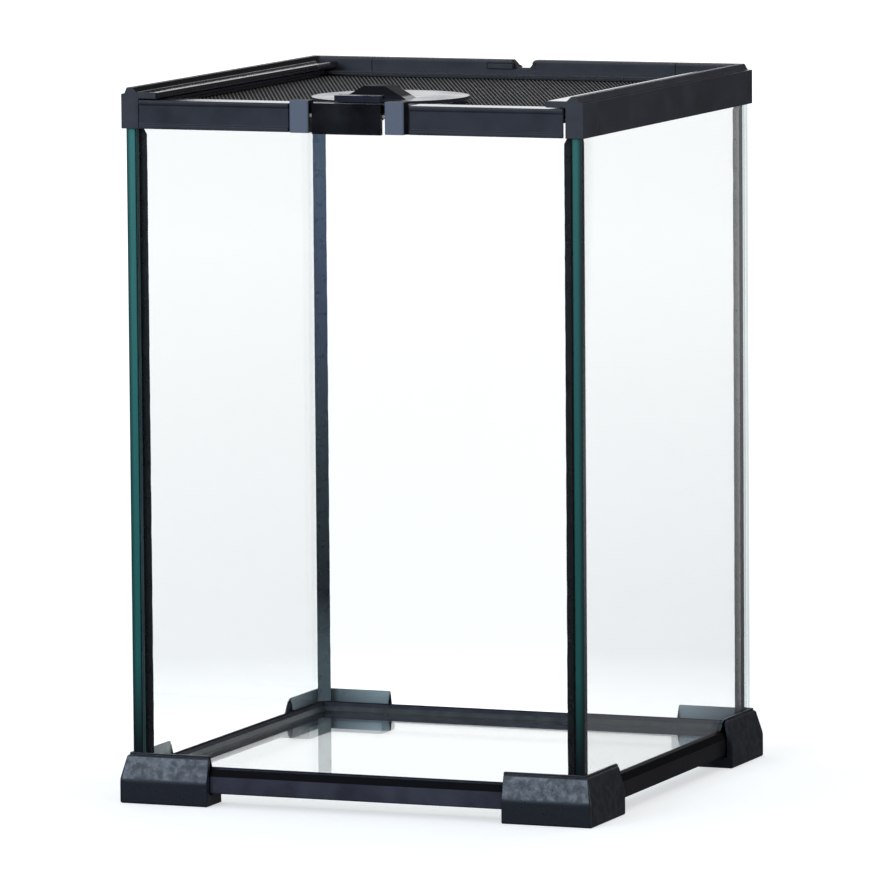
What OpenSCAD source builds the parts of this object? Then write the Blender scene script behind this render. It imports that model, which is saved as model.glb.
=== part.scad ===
// Top-opening glass terrarium with a sliding mesh lid.
// The tank stands on Z = 0, centred on the origin; its front faces -Y and +X is its right side.

/* [Glass box] */
// Outside width of the glass box, left to right
tank_w = 200; // [180:1:400]
// Outside depth of the glass box, front to back
tank_d = 200; // [180:1:400]
// Height of the whole tank, up to the ridge of the top frame
tank_h = 297; // [200:1:500]
// Thickness of every pane of glass
glass_t = 4; // [3:0.5:5]
// Width of the silicone fillet in each upright corner
corner_bead = 4.4; // [2:0.2:6]
// Width of the silicone fillet round the floor pane
floor_bead_size = 2; // [1:0.2:3]

/* [Base frame] */
// Height of the underside of the base rails above the ground
base_lift = 5.3; // [4:0.1:8]
// How far the base rails stand out from the glass
base_outset = 1.3; // [1:0.1:2]
// Height of the upright outer face of a base rail
base_face_h = 7.2; // [6:0.1:12]
// Height of the sloped shoulder between that face and the glass
base_shoulder_h = 3.1; // [2:0.1:4]
// Thickness of plastic under the edge of the upright panes
base_floor_t = 1.9; // [1.5:0.1:2.5]
// Thickness of the lip inside the glass
base_lip_t = 1.4; // [1:0.1:2]
// How far that lip rises above the shoulder
base_lip_rise = 0.3; // [0.1:0.1:0.6]
// How far the shelf under the floor pane reaches past the lip
base_shelf_w = 5.7; // [4:0.1:8]
// Thickness of the shelf under the floor pane
base_shelf_t = 2.8; // [2:0.1:3.2]
// Size of the chamfer along the lower edge of a base rail
base_chamfer = 0.5; // [0.2:0.1:1]

/* [Feet] */
// Length of each leg of the L-shaped corner feet
foot_leg = 39.5; // [30:0.5:60]
// How far the feet stand out from the base rails
foot_outset = 3.3; // [2.5:0.1:5]
// Height of a foot, up to its flat top
foot_h = 20; // [18:0.5:30]
// Height of the crease where the outer face starts to lean in
foot_crease_h = 9.8; // [6:0.1:12]
// How far the top of the outer face leans in
foot_lean = 2.7; // [1:0.1:3]
// Height of the thin rim that rises beside the glass
foot_rim_h = 1.0; // [0.5:0.1:3]
// Thickness of that rim
foot_rim_t = 1.0; // [0.6:0.1:1.4]
// Width of the plate under the base rails
foot_plate_w = 15.6; // [12:0.1:20]
// Radius of the upright outer edge of a foot
foot_edge_r = 1.4; // [0.5:0.1:3]

/* [Top frame] */
// How far the top frame stands out from the glass
frame_outset = 1.5; // [1.2:0.1:2.5]
// Height of the top frame, from its lower edge to its ridge
frame_h = 17; // [16:0.5:25]
// Width of a top rail, not counting its flange
rail_w = 7.8; // [7.4:0.1:10]
// Drop from the ridge to the top of the outer face
ridge_drop = 2.7; // [2.4:0.1:4]
// Width of the sloped step beside the ridge
ridge_step_w = 2.5; // [2:0.1:3]
// Width of the slope between that step and the ridge
ridge_slope_w = 1; // [0.6:0.1:1.4]
// How far the step rises towards the ridge
step_rise = 0.3; // [0.1:0.1:0.6]
// Width of the flat top of the ridge
ridge_w = 2.7; // [2:0.1:2.8]
// Size of the bevel along the back rail's inner edge
back_bevel = 0.8; // [0.4:0.1:1.2]
// Drop from the ridge to the flange over the lid
flange_drop = 1.9; // [1:0.1:3]
// Width of the slope from the ridge down to that flange
flange_slope_w = 2; // [1:0.1:2.5]
// Thickness of the flange over the lid
flange_t = 2.7; // [2:0.1:3]
// How far the flange reaches in over the lid
flange_reach = 9; // [6:0.5:12]
// Thickness of the ledge under the lid
ledge_t = 2; // [1.5:0.1:2.2]
// How far the ledge reaches in under the lid
ledge_reach = 7.5; // [5:0.1:8]
// Depth of glass held in a top rail
glass_grip = 10; // [8:0.5:11]
// Length of the moulded cap at the front of each side rail
cap_len = 16.4; // [14:0.1:25]
// Length of each leg of the rear corner pieces
corner_leg = 32; // [26:0.5:45]

/* [Front glass trim] */
// Height of the strip along the top edge of the front pane
trim_h = 2; // [1.8:0.1:3]
// Wall thickness of that strip
trim_t = 1; // [0.8:0.1:1.2]

/* [Cable notch] */
// Width of the notch at the ridge
notch_top_w = 10.6; // [8:0.1:16]
// Width of the notch at its floor
notch_floor_w = 5.5; // [4.4:0.1:8]
// Depth of the notch below the ridge
notch_depth = 3.4; // [3:0.1:3.6]
// Length of the sliding shutter that closes the notch
shutter_len = 11.6; // [11:0.1:18]
// Thickness of the shutter's plate
shutter_t = 0.8; // [0.6:0.1:1]
// How far the shutter's thumb pad stands out from the rail
shutter_pad = 0.6; // [0.4:0.1:1]
// How far the open shutter still reaches into the notch
shutter_peek = 1; // [0.5:0.1:1.5]
// Thickness of plastic in front of the shutter's groove
groove_lip = 0.5; // [0.4:0.1:0.8]
// Thickness of plastic above the shutter's groove
groove_roof = 0.8; // [0.6:0.1:1]
// How far the groove goes down below the notch's floor
groove_below = 1.3; // [1:0.1:1.4]
// Height of the lips that hold the shutter in its groove
groove_hold = 0.7; // [0.5:0.1:0.8]

/* [Lid frame] */
// Thickness of the lid's bars
lid_t = 3.5; // [3.3:0.1:4]
// Depth of the front bar behind the front skirt
front_bar_w = 10.4; // [9.5:0.1:14]
// Width of the lid's side bars
side_bar_w = 6.2; // [4:0.1:8]
// Width of the lid's rear bar
rear_bar_w = 11; // [6:0.1:14]
// Drop of the rear bar's top below the other bars
rear_bar_drop = 0.6; // [0:0.1:1]
// Height of the skirt that hangs in front of the glass
skirt_h = 11.8; // [10:0.1:14]
// Thickness of the front skirt
skirt_t = 1.6; // [1.2:0.1:2]
// Width of the raised border round the skirt's panel
skirt_border = 1.6; // [1:0.1:2.5]
// Depth of the panel inside that border
skirt_recess = 0.5; // [0.2:0.1:0.6]
// Gap between the skirt and the front trim
skirt_gap = 0.4; // [0.3:0.1:0.8]
// Thickness of the shelf that carries the mesh
mesh_shelf_t = 0.6; // [0.5:0.1:0.8]
// Width of the shelf that carries the mesh
mesh_shelf_w = 3; // [2:0.1:4]
// Thickness of the woven mesh
mesh_t = 0.4; // [0.3:0.1:0.5]
// Size of the square cord that holds the mesh down
spline_size = 1.2; // [0.8:0.1:1.4]

/* [Lock] */
// Width of the lock housing, with both posts
lock_w = 52.8; // [50:0.2:60]
// Width of each post
post_w = 8.4; // [6:0.1:9]
// Distance of each post from the middle
post_inner = 16.7; // [15:0.1:17]
// How far the posts stand out from the skirt
post_proud = 2.4; // [2:0.1:4]
// Height of the posts above the lid
post_rise = 1.5; // [0.5:0.1:2.5]
// How far the top of each post reaches back over the lid
post_reach = 2; // [1:0.1:4]
// Radius of the upright front edges of the posts
post_edge_r = 0.9; // [0.4:0.1:1.2]
// Width of the latch plate
latch_w = 30.4; // [28:0.1:30.8]
// Thickness of the latch plate at its ends
latch_t = 2; // [1.9:0.1:2.2]
// How far the middle of the latch plate bulges
latch_bulge = 0.6; // [0.2:0.1:1.2]
// Height of the latch plate above the lid
latch_rise = 0.6; // [0:0.1:0.8]
// How far the latch plate hangs below the skirt
latch_hang = 0.3; // [0:0.1:1]
// Drop of the latch pin below the lid's top
latch_pin_drop = 4.7; // [4.6:0.05:4.8]
// Diameter of the latch pin
latch_pin_d = 1.5; // [1.2:0.1:1.5]
// Outside diameter of the latch's hinge barrel
latch_barrel_d = 2.9; // [2.6:0.1:3]
// Width of the latch's arm
latch_arm_w = 15; // [10:0.5:18]
// Thickness of the latch's arm
latch_arm_t = 1; // [0.8:0.1:1]
// Height of the tooth under the arm
tooth_h = 0.9; // [0.8:0.05:0.9]
// Thickness of the tooth, front to back
tooth_t = 1.4; // [1:0.1:1.5]

/* [Feeding port] */
// Distance of the cover's edge behind the front of the glass
port_margin = 10.5; // [10.2:0.1:20]
// Outside radius of the cover
cover_r = 32.5; // [26:0.5:38]
// Thickness of the cover's disc
cover_t = 1.5; // [1.2:0.1:1.6]
// How far the cover reaches out past the ring under it
cover_lap = 1.1; // [0.8:0.1:3]
// Wall thickness of the ring round the hole
ring_wall = 3.4; // [2:0.1:5]
// Width of the ring's flange under the mesh
ring_flange_w = 2.1; // [1:0.1:2.1]
// Height of the ring
ring_h = 2.1; // [2:0.1:2.3]
// Width of the lifting tab at the front of the cover
tab_w = 20; // [14:0.5:26]
// Height of the lifting tab
tab_h = 2.7; // [2:0.1:4]
// Depth of the lifting tab
tab_d = 5.6; // [4:0.1:8]
// How far the lifting tab overlaps the disc
tab_bite = 1.6; // [1.2:0.1:2]
// Width of the finger grip at its base
grip_base_w = 28; // [20:0.5:34]
// Width of the finger grip at its top
grip_top_w = 9.4; // [6:0.1:14]
// Height of the finger grip above the disc
grip_h = 5.2; // [3:0.1:7]
// Depth of the finger grip, front to back
grip_d = 11; // [8:0.5:16]
// Distance of the grip in front of the cover's centre
grip_forward = 12; // [6:0.5:16]
// Distance of the cover's hinge behind its disc
hinge_setback = 1.5; // [1.3:0.1:2]
// Diameter of the cover's hinge barrel
barrel_d = 2.5; // [2.2:0.1:2.6]
// Length of the cover's hinge barrel
barrel_len = 12; // [8:0.5:16]
// Length of each hinge ear on the ring
ear_len = 3; // [2:0.1:4]
// Diameter of the cover's hinge pin
port_pin_d = 1.2; // [1:0.1:1.3]

/* [Fits] */
// Gap between glass and the plastic slot that holds it
glass_gap = 0.1; // [0.05:0.05:0.3]
// Gap between the upright panes where they butt together
butt_gap = 0.3; // [0.1:0.1:0.5]
// Gap between the feet and the base rails
foot_gap = 0.15; // [0.05:0.05:0.3]
// Sideways gap between the lid and the side rails
lid_side_gap = 0.6; // [0.3:0.1:1]
// Gap above the lid, under the flanges
lid_top_gap = 0.4; // [0.3:0.1:0.6]
// Gap under the lid, above the ledges
lid_bottom_gap = 0.3; // [0.2:0.1:0.5]
// Gap between pieces that are pushed together
seat_gap = 0.1; // [0.05:0.05:0.2]
// Gap round sliding and swinging parts
run_gap = 0.3; // [0.2:0.05:0.4]
// Gap round the shutter in its groove
slide_gap = 0.15; // [0.1:0.05:0.2]
// Radial gap between a hinge pin and its bore
pin_gap = 0.05; // [0.02:0.01:0.08]

/* [Hidden] */
$fn = 64;
round_fn = 128;
// How far joined shapes sink into each other, and how far cutters run past what they cut
eps = 0.01;
over = 1;

plastic = "#26262b";
foot_plastic = "#33343d";
glass_tint = "#b9e0d8";
silicone = "#17181a";
steel = "#a8abb0";

// Plan of the glass box and of the frames round it, as half sizes
glass_x = tank_w / 2;
glass_y = tank_d / 2;
base_x = glass_x + base_outset;
base_y = glass_y + base_outset;
frame_x = glass_x + frame_outset;
frame_y = glass_y + frame_outset;
inner_x = glass_x - glass_t;
inner_y = glass_y - glass_t;

// Levels of the base frame
base_face_top = base_lift + base_face_h;
base_top = base_face_top + base_shoulder_h;
lip_top = base_top + base_lip_rise;
glass_bottom = base_lift + base_floor_t;
shelf_top = base_lift + base_shelf_t;
floor_bottom = shelf_top + seat_gap;
floor_top = floor_bottom + glass_t;

// Widths across a base rail, counted in from its outer face
base_slot_out = base_outset - glass_gap;
base_slot_in = base_outset + glass_t + glass_gap;
base_lip_in = base_slot_in + base_lip_t;
base_shelf_in = base_lip_in + base_shelf_w;

// Levels of the top frame and the lid
frame_bottom = tank_h - frame_h;
face_top = tank_h - ridge_drop;
flange_top = tank_h - flange_drop;
flange_bottom = flange_top - flange_t;
lid_top = flange_bottom - lid_top_gap;
lid_bottom = lid_top - lid_t;
ledge_top = lid_bottom - lid_bottom_gap;
glass_top = frame_bottom + glass_grip;
trim_bottom = ledge_top - trim_h;
front_glass_top = ledge_top - trim_t - glass_gap;

// Widths across a top rail, counted in from its outer face
ridge_in = ridge_step_w + ridge_w;
step_in = ridge_step_w - ridge_slope_w;
flange_in = rail_w + flange_reach;
ledge_in = rail_w + ledge_reach;
corner_bite = 0.4;

// Plan of the lid
rail_inner_x = frame_x - rail_w;
rail_inner_y = frame_y - rail_w;
lid_x = rail_inner_x - lid_side_gap;
lid_back = rail_inner_y - lid_side_gap;
trim_front = -glass_y - trim_t;
trim_back = -inner_y + trim_t;
skirt_back = trim_front - skirt_gap;
skirt_front = skirt_back - skirt_t;
skirt_bottom = lid_top - skirt_h;
bar_back = skirt_back + front_bar_w;
shelf_back = bar_back + mesh_shelf_w - run_gap;
side_bar_in = lid_x - side_bar_w;
side_shelf_in = side_bar_in - mesh_shelf_w;
rear_bar_front = lid_back - rear_bar_w;
rear_shelf_front = rear_bar_front - mesh_shelf_w;
mesh_bottom = lid_bottom + mesh_shelf_t + seat_gap / 2;
mesh_top = mesh_bottom + mesh_t;
spline_top = mesh_top + seat_gap / 2 + spline_size;
mesh_x = side_bar_in - seat_gap;
mesh_front = bar_back + seat_gap;
mesh_rear = rear_bar_front - seat_gap;

// Lock
lock_x = lock_w / 2;
post_outer = post_inner + post_w;
post_front = skirt_front - post_proud;
post_top = lid_top + post_rise;
post_back = skirt_back + post_reach;
latch_x = latch_w / 2;
latch_top = lid_top + latch_rise;
latch_bottom = skirt_bottom - latch_hang;
latch_pin_z = lid_top - latch_pin_drop;
latch_front = post_front;
latch_back = latch_front + latch_t;
latch_pin_y = latch_back + run_gap;
latch_bulge_r = (latch_x * latch_x + latch_bulge * latch_bulge) / (2 * latch_bulge);
tooth_front = trim_back + run_gap + seat_gap;
arm_back = tooth_front + tooth_t;
tooth_bottom = lid_bottom;
arm_bottom = tooth_bottom + tooth_h;
arm_top = arm_bottom + latch_arm_t;
window_x = latch_arm_w / 2 + 2 * run_gap;
window_top = arm_top + 3 * run_gap;
window_back = arm_back + 2 * run_gap;
pin_seat = 3;

// Feeding port
port_y = -glass_y + port_margin + cover_r;
ring_r = cover_r - cover_lap;
port_hole_r = ring_r - ring_wall;
ring_top = lid_bottom + ring_h;
cover_bottom = ring_top + run_gap;
cover_top = cover_bottom + cover_t;
hinge_y = port_y + cover_r + hinge_setback;
hinge_z = cover_top - barrel_d / 2 - seat_gap / 2;
barrel_x = barrel_len / 2;
ear_x = barrel_x + run_gap;
tab_front = port_y - cover_r - tab_d + tab_bite;
tab_bottom = lid_top + run_gap;
tab_top = tab_bottom + tab_h;
grip_y = port_y - grip_forward;
mesh_hole_r = ring_r + seat_gap;
lug_bite = 2.5;

// Cable notch and its shutter, with the groove's depth counted from the back rail's inner face
shutter_rest_x = shutter_peek - notch_top_w / 2 - shutter_len / 2;
groove_back = groove_lip + shutter_t + 2 * slide_gap;
groove_bottom = tank_h - notch_depth - groove_below;
groove_top = tank_h - groove_roof;
groove_x0 = shutter_rest_x - shutter_len / 2 - run_gap;
groove_x1 = shutter_len / 2 + run_gap;
opening_bottom = groove_bottom + groove_hold;
opening_top = groove_top - groove_hold;

// A profile drawn as (Y, Z), drawn out along X
module along_x(x0, x1)
    translate([x0, 0, 0]) rotate([90, 0, 90]) linear_extrude(x1 - x0) children();

// A profile drawn as (X, Z), drawn out along Y
module along_y(y0, y1)
    translate([0, y1, 0]) rotate([90, 0, 0]) linear_extrude(y1 - y0) children();

// A box given by its two corners
module block(low, high) translate(low) cube(high - low);

module for_left() mirror([1, 0, 0]) children();

// ---- Glass and silicone ----

module pane_x(y0, top)
    block([-inner_x + butt_gap, y0, glass_bottom], [inner_x - butt_gap, y0 + glass_t, top]);

module pane_side()
    block([inner_x, -glass_y, glass_bottom], [glass_x, glass_y, glass_top]);

module front_glass() color(glass_tint, 0.4) pane_x(-glass_y, front_glass_top);
module back_glass() color(glass_tint, 0.4) pane_x(inner_y, glass_top);
module right_glass() color(glass_tint, 0.4) pane_side();
module left_glass() color(glass_tint, 0.4) for_left() pane_side();

floor_x = base_x - base_lip_in - seat_gap;
floor_y = base_y - base_lip_in - seat_gap;

module floor_glass()
    color(glass_tint, 0.5) block([-floor_x, -floor_y, floor_bottom], [floor_x, floor_y, floor_top]);

// A triangular fillet with its right angle in an upright corner
module bead(x_sign, y_sign)
    color(silicone)
    translate([x_sign * inner_x, y_sign * inner_y, lip_top + seat_gap])
        scale([-x_sign, -y_sign, 1])
            linear_extrude(frame_bottom - lip_top - 2 * seat_gap)
                polygon([[0, 0], [corner_bead, 0], [0, corner_bead]]);

module corner_bead_front_left() bead(-1, -1);
module corner_bead_front_right() bead(1, -1);
module corner_bead_back_left() bead(-1, 1);
module corner_bead_back_right() bead(1, 1);

// One mitred length of the fillet round the floor pane, beside the base lip
module floor_bead_side(half_len, half_off)
    intersection() {
        along_x(-half_len, half_len)
            polygon([[-half_off, floor_top], [-half_off + floor_bead_size, floor_top],
                     [-half_off, floor_top + floor_bead_size]]);
        mitre_plan(half_len, half_off, floor_bead_size + over);
    }

module floor_bead() color(silicone) {
    floor_bead_side(floor_x, floor_y);
    rotate(180) floor_bead_side(floor_x, floor_y);
    rotate(90) floor_bead_side(floor_y, floor_x);
    rotate(-90) floor_bead_side(floor_y, floor_x);
}

// The plan that cuts a front piece off at 45 degrees at both ends
module mitre_plan(half_len, half_off, depth)
    linear_extrude(tank_h)
        polygon([[-half_len, -half_off], [half_len, -half_off],
                 [half_len - depth, -half_off + depth], [-half_len + depth, -half_off + depth]]);

// ---- Base frame ----

module base_profile()
    polygon([
        [base_chamfer, base_lift], [0, base_lift + base_chamfer], [0, base_face_top],
        [base_slot_out, base_top], [base_slot_out, glass_bottom - seat_gap],
        [base_slot_in, glass_bottom - seat_gap], [base_slot_in, lip_top],
        [base_lip_in, lip_top], [base_lip_in, shelf_top],
        [base_shelf_in, shelf_top], [base_shelf_in, base_lift]
    ]);

module base_rail(half_len, half_off)
    color(plastic)
    intersection() {
        along_x(-half_len, half_len) translate([-half_off, 0]) base_profile();
        mitre_plan(half_len, half_off, base_shelf_in + over);
    }

module base_rail_front() base_rail(base_x, base_y);
module base_rail_back() rotate(180) base_rail(base_x, base_y);
module base_rail_right() rotate(90) base_rail(base_y, base_x);
module base_rail_left() rotate(-90) base_rail(base_y, base_x);

// ---- Feet ----

foot_x = base_x + foot_outset;
foot_y = base_y + foot_outset;

// Section of a foot's leg, counted in from its outer face
module foot_profile() {
    glass_in = foot_outset + base_outset - foot_gap;
    polygon([
        [base_chamfer, 0], [0, base_chamfer], [0, foot_crease_h], [foot_lean, foot_h],
        [glass_in - foot_rim_t, foot_h], [glass_in - foot_rim_t, foot_h + foot_rim_h],
        [glass_in, foot_h + foot_rim_h], [glass_in, base_top + foot_gap],
        [foot_outset - foot_gap, base_face_top + foot_gap],
        [foot_outset - foot_gap, base_lift - foot_gap], [foot_plate_w, base_lift - foot_gap],
        [foot_plate_w, 0]
    ]);
}

// One leg of the rear right foot, drawn along X and cut off at 45 degrees at the corner
module foot_leg_x(corner_x, corner_y)
    intersection() {
        along_x(corner_x - foot_leg, corner_x)
            translate([corner_y, 0]) mirror([1, 0]) foot_profile();
        translate([0, 0, -over]) linear_extrude(foot_h + foot_rim_h + 2 * over)
            polygon([[corner_x, corner_y], [corner_x - foot_leg - over, corner_y],
                     [corner_x - foot_leg - over, corner_y - foot_plate_w - over],
                     [corner_x - foot_plate_w - over, corner_y - foot_plate_w - over]]);
    }

// The sharp upright edge that the rounding takes off
module edge_cutter(corner_x, corner_y, r, z0, height)
    difference() {
        block([corner_x - r, corner_y - r, z0], [corner_x + over, corner_y + over, z0 + height]);
        translate([corner_x - r, corner_y - r, z0 - over]) cylinder(r = r, h = height + 2 * over);
    }

module foot()
    color(foot_plastic)
    difference() {
        union() {
            foot_leg_x(foot_x, foot_y);
            mirror([1, -1, 0]) foot_leg_x(foot_y, foot_x);
        }
        edge_cutter(foot_x, foot_y, foot_edge_r, -over, foot_crease_h + 2 * foot_edge_r + over);
    }

module foot_back_right() foot();
module foot_back_left() for_left() foot();
module foot_front_right() mirror([0, 1, 0]) foot();
module foot_front_left() rotate(180) foot();

// ---- Top frame ----

// The outer face of every top rail, up to the outer edge of the ridge
outer_outline = [
    [0, frame_bottom], [0, face_top], [step_in, face_top + step_rise], [ridge_step_w, tank_h]
];
// The ledge under the lid, on the inner face
ledge_outline = [
    [rail_w, ledge_top], [ledge_in, ledge_top], [ledge_in, ledge_top - ledge_t],
    [rail_w, ledge_top - ledge_t]
];
// The flange over the lid, with its round tip
tip_r = flange_t / 2;
flange_outline = [
    [ridge_in, tank_h], [ridge_in + flange_slope_w, flange_top],
    for (a = [90:-15:-90]) [flange_in - tip_r + tip_r * cos(a), flange_top - tip_r + tip_r * sin(a)],
    [rail_w, flange_bottom]
];

// Section of a side rail with its flange and ledge, counted in from its outer face
module side_profile(ledge = true)
    polygon(concat(outer_outline, flange_outline, ledge ? ledge_outline : [], [[rail_w, frame_bottom]]));

// Section of the back rail, counted in from its outer face
module back_profile()
    polygon(concat(outer_outline, [[rail_w - back_bevel, tank_h], [rail_w, tank_h - back_bevel]],
                   ledge_outline, [[rail_w, frame_bottom]]));

// The space that the side and back panes take inside the rails
module glass_slots() {
    gap = glass_gap;
    block([inner_x - gap, -glass_y - gap, 0], [glass_x + gap, glass_y + gap, glass_top + gap]);
    block([-glass_x - gap, inner_y - gap, 0], [glass_x + gap, glass_y + gap, glass_top + gap]);
}

side_rail_front = -frame_y + cap_len;
side_rail_back = frame_y - corner_leg;
back_rail_x = frame_x - corner_leg;

module side_rail()
    color(plastic)
    difference() {
        along_y(side_rail_front + seat_gap / 2, side_rail_back - seat_gap / 2)
            translate([frame_x, 0]) mirror([1, 0]) side_profile();
        glass_slots();
    }

module top_rail_right() side_rail();
module top_rail_left() for_left() side_rail();

module end_cap()
    color(plastic)
    difference() {
        union() {
            along_y(-frame_y, side_rail_front - seat_gap / 2)
                translate([frame_x, 0]) mirror([1, 0]) side_profile(ledge = false);
            block([frame_x - ledge_in, trim_back + seat_gap, ledge_top - ledge_t],
                  [rail_inner_x + eps, side_rail_front - seat_gap / 2, ledge_top]);
        }
        glass_slots();
        block([rail_inner_x - over, -glass_y - glass_gap, 0],
              [inner_x + eps, -inner_y + glass_gap, front_glass_top + glass_gap]);
    }

module end_cap_right() end_cap();
module end_cap_left() for_left() end_cap();

// The half of a rear corner piece that runs along the side
module corner_side_leg()
    intersection() {
        along_y(side_rail_back + seat_gap / 2, frame_y)
            translate([frame_x, 0]) mirror([1, 0]) side_profile();
        linear_extrude(tank_h + over)
            polygon([[frame_x, frame_y], [frame_x - corner_leg, frame_y - corner_leg],
                     [frame_x - corner_leg, frame_y - corner_leg - over],
                     [frame_x, frame_y - corner_leg - over]]);
    }

// The half of a rear corner piece that runs along the back
module corner_back_leg()
    intersection() {
        along_x(back_rail_x + seat_gap / 2, frame_x)
            translate([frame_y, 0]) mirror([1, 0]) back_profile();
        linear_extrude(tank_h + over)
            polygon([[frame_x, frame_y], [frame_x - corner_leg, frame_y - corner_leg],
                     [frame_x - corner_leg - over, frame_y - corner_leg],
                     [frame_x - corner_leg - over, frame_y]]);
    }

module frame_corner()
    color(plastic)
    difference() {
        union() {
            corner_side_leg();
            corner_back_leg();
            block([frame_x - flange_in + tip_r, side_rail_back + seat_gap / 2, flange_bottom],
                  [rail_inner_x + corner_bite, rail_inner_y + corner_bite, flange_top]);
        }
        glass_slots();
    }

module frame_corner_right() frame_corner();
module frame_corner_left() for_left() frame_corner();

// The stepped groove that the shutter slides in, open at the rail's inner face
module shutter_groove() {
    wide_y = rail_inner_y + groove_lip;
    block([groove_x0, wide_y, groove_bottom], [groove_x1, rail_inner_y + groove_back, groove_top]);
    block([groove_x0, rail_inner_y - over, opening_bottom], [groove_x1, wide_y + eps, opening_top]);
}

module top_rail_back()
    color(plastic)
    difference() {
        along_x(-back_rail_x + seat_gap / 2, back_rail_x - seat_gap / 2)
            translate([frame_y, 0]) mirror([1, 0]) back_profile();
        glass_slots();
        along_y(rail_inner_y - over, frame_y + over)
            polygon([[-notch_floor_w / 2, tank_h - notch_depth], [notch_floor_w / 2, tank_h - notch_depth],
                     [notch_top_w / 2, tank_h + eps], [-notch_top_w / 2, tank_h + eps]]);
        shutter_groove();
    }

module cable_shutter() {
    plate_front = rail_inner_y + groove_lip + slide_gap;
    color(foot_plastic)
    translate([shutter_rest_x, 0, 0]) {
        block([-shutter_len / 2, plate_front, groove_bottom + slide_gap],
              [shutter_len / 2, plate_front + shutter_t, groove_top - slide_gap]);
        block([-shutter_len / 2, rail_inner_y - shutter_pad, opening_bottom + slide_gap],
              [shutter_len / 2, plate_front + eps, opening_top - slide_gap]);
    }
}

// ---- Front glass trim ----

module front_glass_trim()
    color(plastic)
    difference() {
        block([-rail_inner_x + 2 * seat_gap, trim_front, trim_bottom],
              [rail_inner_x - 2 * seat_gap, trim_back, ledge_top]);
        block([-glass_x, -glass_y - glass_gap, trim_bottom - over],
              [glass_x, -inner_y + glass_gap, front_glass_top + glass_gap]);
    }

// ---- Lid frame ----

// Section of the front bar and its skirt
module front_bar_profile()
    polygon([
        [skirt_back, skirt_bottom], [skirt_front, skirt_bottom],
        [skirt_front, skirt_bottom + skirt_border],
        [skirt_front + skirt_recess, skirt_bottom + skirt_border + skirt_recess],
        [skirt_front + skirt_recess, lid_top - skirt_border - skirt_recess],
        [skirt_front, lid_top - skirt_border],
        [skirt_front, lid_top - skirt_recess], [skirt_front + skirt_recess, lid_top],
        [bar_back, lid_top], [bar_back, lid_bottom], [skirt_back, lid_bottom]
    ]);

module lid_front_bar()
    color(plastic) {
        along_x(lock_x + seat_gap, lid_x) front_bar_profile();
        block([lock_x + seat_gap, bar_back - eps, lid_bottom],
              [side_shelf_in - seat_gap, shelf_back, lid_bottom + mesh_shelf_t]);
    }

module lid_front_bar_right() lid_front_bar();
module lid_front_bar_left() for_left() lid_front_bar();

module lid_side_bar()
    color(plastic) {
        block([side_bar_in, bar_back + seat_gap, lid_bottom],
              [lid_x, rear_bar_front - seat_gap, lid_top]);
        block([side_shelf_in, bar_back + seat_gap, lid_bottom],
              [side_bar_in + eps, rear_bar_front - seat_gap, lid_bottom + mesh_shelf_t]);
    }

module lid_side_bar_right() lid_side_bar();
module lid_side_bar_left() for_left() lid_side_bar();

module lid_rear_bar()
    color(plastic) {
        block([-lid_x, rear_bar_front, lid_bottom], [lid_x, lid_back, lid_top - rear_bar_drop]);
        block([-side_shelf_in + seat_gap, rear_shelf_front, lid_bottom],
              [side_shelf_in - seat_gap, rear_bar_front + eps, lid_bottom + mesh_shelf_t]);
    }

module lid_mesh()
    color(steel, 0.6)
    difference() {
        block([-mesh_x, mesh_front, mesh_bottom], [mesh_x, mesh_rear, mesh_top]);
        translate([0, port_y, mesh_bottom - over])
            cylinder(r = mesh_hole_r, h = mesh_t + 2 * over, $fn = round_fn);
    }

module mesh_spline()
    color(silicone)
    difference() {
        block([-mesh_x, mesh_front, mesh_top + seat_gap / 2], [mesh_x, mesh_rear, spline_top]);
        block([-mesh_x + spline_size, mesh_front + spline_size, mesh_top - over],
              [mesh_x - spline_size, mesh_rear - spline_size, spline_top + over]);
        translate([0, port_y, mesh_top - over])
            cylinder(r = cover_r + run_gap, h = spline_size + 3 * over, $fn = round_fn);
    }

// ---- Lock ----

module post()
    difference() {
        block([post_inner, post_front, skirt_bottom], [post_outer, post_back, post_top]);
        mirror([0, 1, 0]) edge_cutter(post_outer, -post_front, post_edge_r, 0, post_top + over);
        mirror([0, 1, 0]) mirror([1, 0, 0])
            edge_cutter(-post_inner, -post_front, post_edge_r, 0, post_top + over);
        translate([post_inner - pin_seat, latch_pin_y, latch_pin_z])
            rotate([0, 90, 0]) cylinder(d = latch_pin_d + seat_gap, h = 2 * pin_seat);
    }

module lock_housing()
    color(plastic)
    difference() {
        union() {
            block([-lock_x, skirt_back, lid_bottom], [lock_x, bar_back, lid_top]);
            for (side = [0, 1]) mirror([side, 0, 0]) {
                post();
                block([post_inner, bar_back - eps, lid_bottom],
                      [lock_x, shelf_back, lid_bottom + mesh_shelf_t]);
                block([post_outer - over, skirt_back - skirt_t / 2, skirt_bottom],
                      [lock_x, skirt_back + eps, lid_top]);
            }
        }
        block([-window_x, skirt_back - over, lid_bottom - over], [window_x, window_back, window_top]);
        block([-lock_x - over, skirt_back, skirt_bottom - over],
              [lock_x + over, post_back + over, lid_bottom]);
    }

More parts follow.
